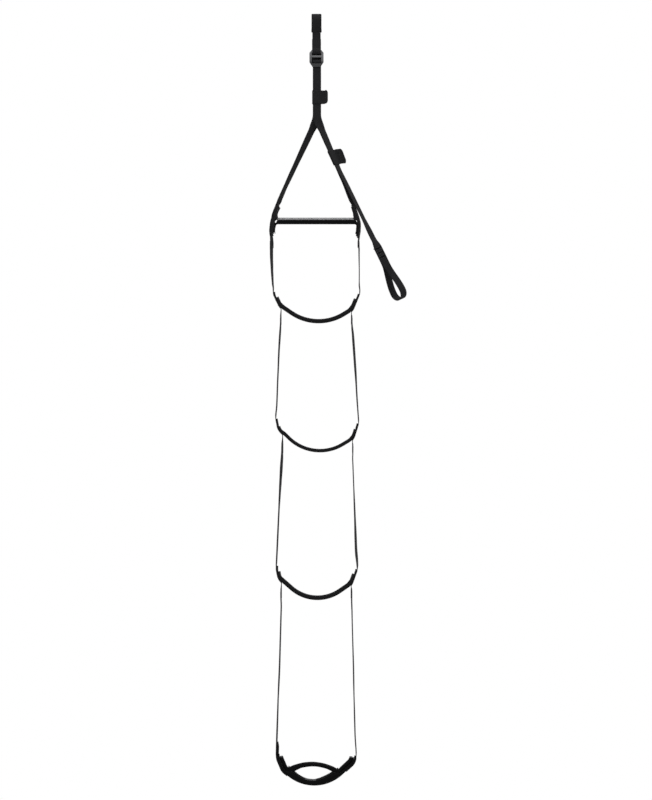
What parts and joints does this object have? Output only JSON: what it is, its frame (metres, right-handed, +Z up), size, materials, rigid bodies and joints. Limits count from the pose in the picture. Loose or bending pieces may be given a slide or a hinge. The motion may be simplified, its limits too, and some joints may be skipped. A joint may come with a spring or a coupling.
{
  "type": "etrier",
  "caption": "Webbing wall ladder with a clip-in loop, a slide-lock buckle, a metal spreader bar and curved webbing footholds that hang on two rails.",
  "frame": {"origin": "inside crown of the sleeved clip-in loop, where the connector bears", "axes": "+Z up along the hanging ladder, +X to its right seen from the front, front towards -Y"},
  "size_m": [0.3287, 0.0438, 1.8504],
  "materials": {
    "webbing": "black woven webbing",
    "sleeve_fabric": "black coated fabric",
    "tread_fabric": "black folded webbing",
    "buckle_metal": "satin grey",
    "bar_metal": "satin anodised",
    "plug": "matt black",
    "stiffener": "matt dark grey"
  },
  "bodies": {
    "clip_in": {"clip_in_strap": "webbing", "clip_in_sleeve": "sleeve_fabric"},
    "buckle": {"buckle_frame": "buckle_metal"},
    "lock": {"lock_bar": "buckle_metal", "lock_wrap": "webbing"},
    "ladder_head": {"load_strap": "webbing", "tail_upper": "webbing", "leg_left": "webbing", "leg_right": "webbing", "spreader_bar": "bar_metal", "bar_plug_left": "plug", "bar_plug_right": "plug", "bar_cradle_strap": "webbing", "bar_patch_left": "webbing", "bar_patch_right": "webbing"},
    "tail": {"tail_strap": "webbing"},
    "upper_keeper": {"keeper_upper": "sleeve_fabric"},
    "lower_keeper": {"keeper_lower": "sleeve_fabric"},
    "stage_1": {"rail_left_1": "webbing", "rail_right_1": "webbing", "step_strap_1": "webbing", "tread_sleeve_1": "tread_fabric", "tread_stiffener_1": "stiffener"},
    "stage_2": {"rail_left_2": "webbing", "rail_right_2": "webbing", "step_strap_2": "webbing", "tread_sleeve_2": "tread_fabric", "tread_stiffener_2": "stiffener"},
    "stage_3": {"rail_left_3": "webbing", "rail_right_3": "webbing", "step_strap_3": "webbing", "tread_sleeve_3": "tread_fabric", "tread_stiffener_3": "stiffener"},
    "stage_4": {"rail_left_4": "webbing", "rail_right_4": "webbing", "foot_strap": "webbing", "foot_sleeve": "tread_fabric", "foot_stiffener": "stiffener", "arch_sleeve": "tread_fabric", "arch_stiffener": "stiffener"}
  },
  "joints": [
    {"name": "buckle_swing", "type": "hinge", "parent": "clip_in", "child": "buckle", "pos_m": [0, 0, -0.0863], "axis": [1, 0, 0], "range_deg": [-90, 90]},
    {"name": "lock_bar_slide", "type": "slide", "parent": "buckle", "child": "lock", "axis": [0, 0, 1], "range_m": [0, 0.0035]},
    {"name": "ladder_adjust", "type": "slide", "parent": "buckle", "child": "ladder_head", "axis": [0, 0, 1], "range_m": [-0.045, 0.035], "deforming": ["load_strap", "tail_upper"]},
    {"name": "tail_run", "type": "slide", "parent": "ladder_head", "child": "tail", "axis": [0.4385, 0, -0.8987], "range_m": [-0.09, 0.07]},
    {"name": "upper_keeper_slide", "type": "slide", "parent": "ladder_head", "child": "upper_keeper", "axis": [0, 0, 1], "range_m": [-0.012, 0.012]},
    {"name": "lower_keeper_slide", "type": "slide", "parent": "ladder_head", "child": "lower_keeper", "axis": [-0.388, 0.0355, 0.921], "range_m": [-0.002, 0.002]},
    {"name": "stage_1_fold", "type": "hinge", "parent": "ladder_head", "child": "stage_1", "pos_m": [0, 0, -0.54945], "axis": [1, 0, 0], "range_deg": [-120, 120]},
    {"name": "stage_2_fold", "type": "hinge", "parent": "stage_1", "child": "stage_2", "pos_m": [0, 0, -0.73368], "axis": [1, 0, 0], "range_deg": [-120, 120]},
    {"name": "stage_3_fold", "type": "hinge", "parent": "stage_2", "child": "stage_3", "pos_m": [0, 0, -1.04154], "axis": [1, 0, 0], "range_deg": [-120, 120]},
    {"name": "stage_4_fold", "type": "hinge", "parent": "stage_3", "child": "stage_4", "pos_m": [0, 0, -1.38972], "axis": [1, 0, 0], "range_deg": [-120, 120]}
  ],
  "couplings": [
    {"joint": "tail_run", "follows": "ladder_adjust", "ratio": 2}
  ]
}
